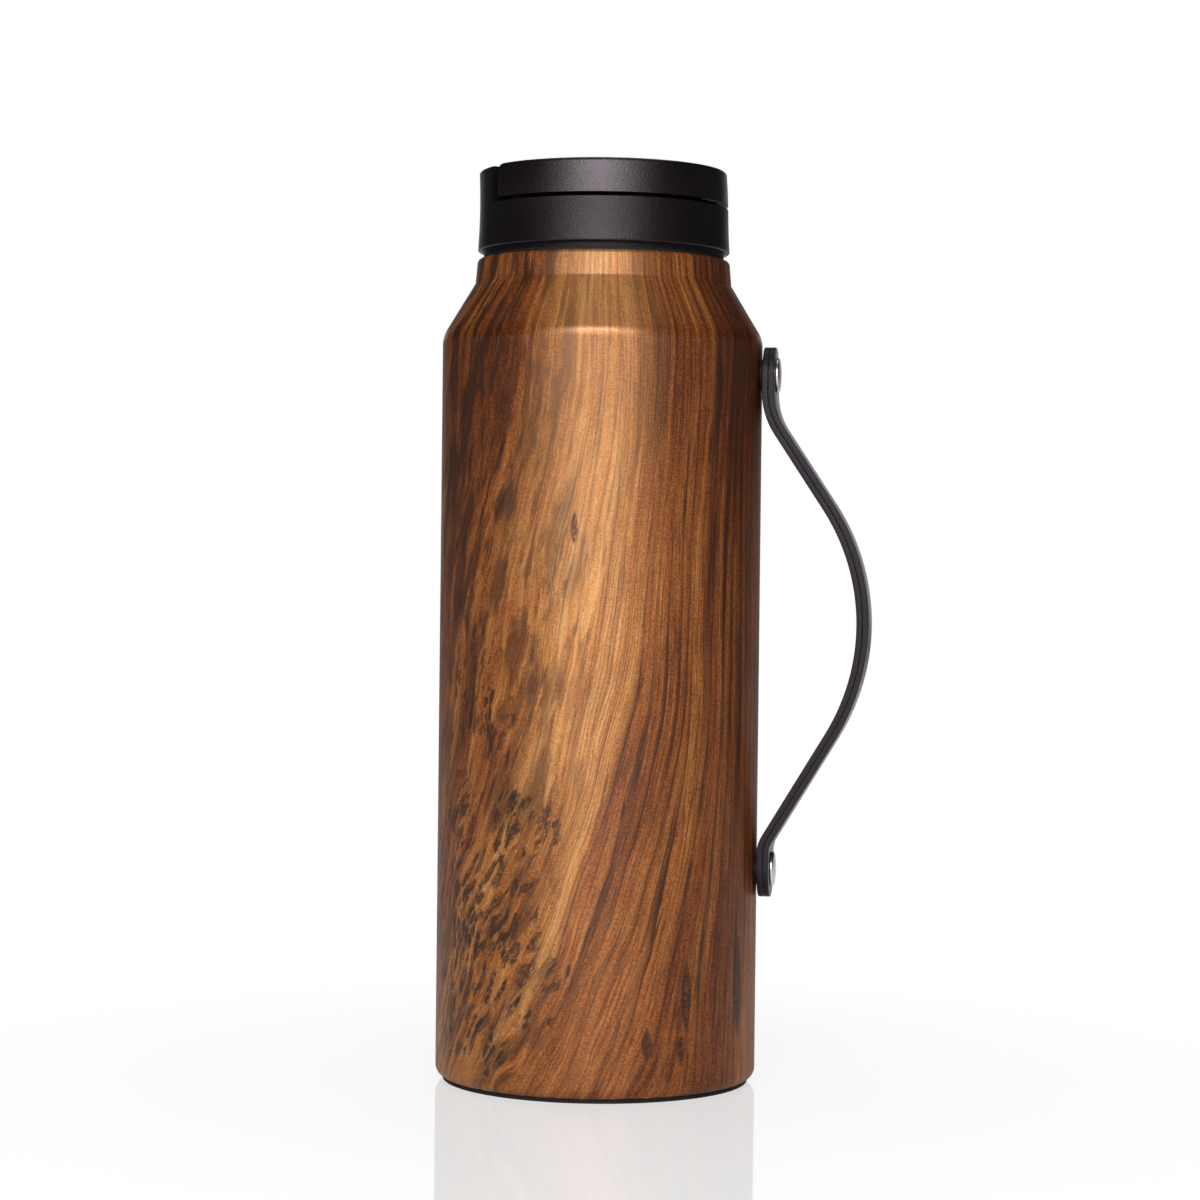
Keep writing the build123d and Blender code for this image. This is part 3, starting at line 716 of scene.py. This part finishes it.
def strap_sheet(name, lift):
    """A thin sheet along the strap at a distance outside its inner side, with half-round ends."""
    inner_x = BODY_RADIUS + STRAP_STANDOFF
    x = inner_x + lift
    upper_end = RIVET_HEIGHTS[0] + STRAP_END_MARGIN - STRAP_HALF_WIDTH
    lower_end = RIVET_HEIGHTS[1] - STRAP_END_MARGIN + STRAP_HALF_WIDTH
    corners = [
        Vector((inner_x, 0, upper_end)),
        Vector((inner_x, 0, UPPER_BEND)),
        Vector((inner_x + STRAP_REACH, 0, BOW_HEIGHT)),
        Vector((inner_x, 0, LOWER_BEND)),
        Vector((inner_x, 0, lower_end)),
    ]
    radii = [UPPER_BEND_RADIUS, BOW_RADIUS, LOWER_BEND_RADIUS]
    sides = [1, -1, 1]
    piece = begin(name)
    half_disc(x, upper_end, True)
    pick_edges(piece, lambda middle: abs(middle.z - upper_end) < SEAM_GAP)
    headings = [(end - start).normalized() for start, end in zip(corners, corners[1:])]
    bends = [first.angle(second) for first, second in zip(headings, headings[1:])]
    trims = [0.0] + [radius * tan(bend / 2) for radius, bend in zip(radii, bends)] + [0.0]
    for k, heading in enumerate(headings):
        straight = (corners[k + 1] - corners[k]).length - trims[k] - trims[k + 1]
        steps = max(1, round(straight / SHEET_STEP))
        for _ in range(steps):
            bpy.ops.mesh.extrude_edges_indiv()
            bpy.ops.transform.translate(value=heading * (straight / steps))
        if k < len(bends):
            outwards = Vector((-heading.z, 0, heading.x))
            tangent = corners[k + 1] - heading * trims[k + 1]
            bpy.ops.mesh.spin(
                steps=max(6, round(degrees(bends[k]) / BEND_STEP)),
                angle=bends[k] * sides[k],
                center=tangent + outwards * radii[k] * sides[k],
                axis=(0, 1, 0),
            )
    half_disc(x, lower_end, False)
    return piece


def strap_ply(name, lift, node):
    """One leather ply of the strap: its sheet thickened outwards, with a pressed round on its edges."""
    piece = strap_sheet(name, lift)
    close_seams()
    bpy.ops.object.mode_set(mode="OBJECT")
    outwards = max(piece.data.polygons, key=lambda p: p.area).normal.x > 0
    apply_modifier(
        piece,
        "SOLIDIFY",
        thickness=PLY,
        offset=1.0 if outwards else -1.0,
        use_even_offset=True,
    )
    apply_modifier(
        piece,
        "BEVEL",
        width=PLY_EDGE_ROUND,
        segments=3,
        limit_method="ANGLE",
        angle_limit=radians(50),
    )
    complete(piece, "bottle", [face_leather, edge_leather])

    # The faces that look sideways, up or down are the strap's cut edge, which is painted
    for face in piece.data.polygons:
        face.material_index = 1 if abs(face.normal.x) < 0.4 else 0
    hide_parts(node)


def rivet_head(name, height):
    """A pressed rivet head: upright rim and shallow dome, turned about the stud."""
    base = BODY_RADIUS + STRAP_STANDOFF + PLY + PLY

    # Height above the strap and distance from the stud's axis, from under the head to the dome's top
    outline = [
        (0.0, 0.0),
        (0.0, HEAD_RADIUS - 0.00012),
        (0.00012, HEAD_RADIUS),
        (0.00060, HEAD_RADIUS),
        (0.00080, HEAD_RADIUS - 0.00010),
        (0.00094, HEAD_RADIUS - 0.00034),
        (0.00103, HEAD_RADIUS - 0.00080),
        (0.00114, HEAD_RADIUS - 0.00150),
        (0.00125, HEAD_RADIUS - 0.00250),
        (0.00134, HEAD_RADIUS - 0.00360),
        (HEAD_HEIGHT, 0.0),
    ]
    piece = begin(name)
    bpy.ops.mesh.primitive_circle_add(vertices=8, radius=HEAD_RADIUS, location=(base, 0, height))
    bpy.ops.mesh.merge(type="CENTER")
    for (out, away), (next_out, next_away) in zip(outline, outline[1:]):
        bpy.ops.mesh.extrude_verts_indiv()
        bpy.ops.transform.translate(value=(next_out - out, 0, next_away - away))
    bpy.ops.mesh.select_all(action="SELECT")
    bpy.ops.mesh.spin(steps=HEAD_STEPS, angle=2 * pi, center=(base, 0, height), axis=(1, 0, 0))
    close_seams()
    bpy.ops.object.mode_set(mode="OBJECT")
    apply_modifier(piece, "SUBSURF", levels=1, render_levels=1)
    complete(piece, "bottle", [bright_steel], 60)
    return piece


strap_ply("strap_ply_inner", 0.0, "strap_inner_ply")
strap_ply("strap_ply_outer", PLY, "strap_outer_ply")
for number, height in enumerate(RIVET_HEIGHTS, 1):
    head = rivet_head(f"rivet_head_{number}", height)
    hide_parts("rivet_caps")


# Stage: a pale floor with a faint mirror image, a white world, soft lamps and the camera


def pale_floor():
    """A floor with the object's shadow and a faint reflection of it, which turns white further out."""
    bpy.ops.object.select_all(action="DESELECT")
    bpy.ops.mesh.primitive_circle_add(vertices=96, radius=6, fill_type="NGON")
    floor = bpy.context.object
    floor.name = "floor"
    made = bpy.data.materials.new("pale_floor")
    made.use_nodes = True
    tree = made.node_tree
    tree.nodes.remove(tree.nodes["Principled BSDF"])
    place = Value(tree).node("ShaderNodeTexCoord", result="Object")
    apart = place.length()
    camera_ray = place.node("ShaderNodeLightPath", result="Is Camera Ray")
    glossy_ray = place.node("ShaderNodeLightPath", result="Is Glossy Ray")
    through_ray = place.node("ShaderNodeLightPath", result="Is Transmission Ray")
    pale = place.node("ShaderNodeBsdfDiffuse", None, {"Color": (0.86, 0.86, 0.86, 1)})
    white = place.node("ShaderNodeEmission", None, {"Color": (1, 1, 1, 1), "Strength": 1.0})
    mirror = place.node("ShaderNodeBsdfGlossy", None, {"Color": (1, 1, 1, 1), "Roughness": 0.05})

    # The shadow is a fifth of what is seen near the bottle, and is gone 24 cm from its axis
    seen = (camera_ray + through_ray + 0.15 * glossy_ray).math("MINIMUM", 1)
    whiteness = (0.80 + 0.20 * apart.between(0.05, 0.24)) * seen
    ground = place.node("ShaderNodeMixShader", None, {0: whiteness, 1: pale, 2: white})

    # The mirror image fades between 20 and 32 cm from the axis
    sheen = 0.23 * camera_ray * (1 - apart.between(0.20, 0.32))
    ground = place.node("ShaderNodeMixShader", None, {0: sheen, 1: ground, 2: mirror})
    tree.links.new(ground.socket, tree.nodes["Material Output"].inputs["Surface"])
    floor.data.materials.append(made)


def white_world():
    """White to the camera and in what the object mirrors from behind it, and dim otherwise."""
    world = bpy.data.worlds.new("white_studio")
    bpy.context.scene.world = world
    world.use_nodes = True
    tree = world.node_tree
    back = tree.nodes["Background"]
    back.inputs["Color"].default_value = (1, 1, 1, 1)
    start = Value(tree)
    camera_ray = start.node("ShaderNodeLightPath", result="Is Camera Ray")
    glossy_ray = start.node("ShaderNodeLightPath", result="Is Glossy Ray")
    through_ray = start.node("ShaderNodeLightPath", result="Is Transmission Ray")
    along = start.node("ShaderNodeTexCoord", result="Generated").parts()
    heading = round_from_camera(180)

    # Behind the object is what lies within 17 to 28 degrees of the camera's heading
    behind = (along[0] * cos(heading) + along[1] * sin(heading)).between(0.88, 0.955)
    shown = (camera_ray + through_ray + glossy_ray * behind).math("MINIMUM", 1)
    strength = ROOM_LIGHT + (1 - ROOM_LIGHT) * shown
    strength = strength - (ROOM_LIGHT - ROOM_REFLECTION) * glossy_ray * (1 - behind)
    tree.links.new(strength.socket, back.inputs["Strength"])


def lamp(name, around, distance, height, width, tall, power, aim=0.13):
    """A soft rectangular lamp, at an angle in degrees round from the camera, aimed at the axis."""
    light = bpy.data.lights.new(name, "AREA")
    light.shape = "RECTANGLE"
    light.size = width
    light.size_y = tall
    light.energy = power
    holder = bpy.data.objects.new(name, light)
    bpy.context.scene.collection.objects.link(holder)
    angle = round_from_camera(around)
    holder.location = (distance * cos(angle), distance * sin(angle), height)
    look = Vector((0, 0, aim)) - holder.location
    holder.rotation_euler = look.to_track_quat("-Z", "Y").to_euler()
    return holder


def photograph_camera():
    """The camera fitted to the photograph: a long lens, nearly level, a little to the strap's side."""
    tilt = radians(CAMERA_TILT)
    roll = radians(CAMERA_ROLL)
    heading = round_from_camera(180)
    level = Vector((cos(heading), sin(heading), 0))
    right = Vector((sin(heading), -cos(heading), 0))
    forward = level * cos(tilt) + Vector((0, 0, -sin(tilt)))
    up = right.cross(forward)
    turned_right = right * cos(roll) + up * sin(roll)
    turned_up = up * cos(roll) - right * sin(roll)
    camera = bpy.data.objects.new("camera", bpy.data.cameras.new("camera"))
    bpy.context.scene.collection.objects.link(camera)
    camera.data.lens = FOCAL_LENGTH
    camera.data.sensor_width = SENSOR_WIDTH
    camera.data.clip_start = 0.01
    columns = Matrix((turned_right, turned_up, -forward)).transposed().to_4x4()
    camera.matrix_world = Matrix.Translation(Vector(CAMERA_PLACE)) @ columns
    bpy.context.scene.camera = camera


pale_floor()
white_world()

# Each lamp's angle, then its distance, height, own width and own height in metres, and its watts
lamp("front_softbox", -5, 1.25, 0.58, 0.67, 0.74, 6.0)
lamp("wide_softbox", -5, 1.27, 0.56, 1.56, 0.75, 12.0)
lamp("crease_strip", -5, 1.25, 0.86, 0.9, 0.05, 4.5, aim=0.2)
back_lamp = lamp("back_softbox", 175, 1.3, 0.5, 0.6, 0.9, 7.0)
back_lamp.visible_glossy = False
lamp("overhead_softbox", 175, 0.35, 1.35, 0.9, 0.9, 3.0)
photograph_camera()
bpy.context.scene.view_settings.view_transform = "Standard"
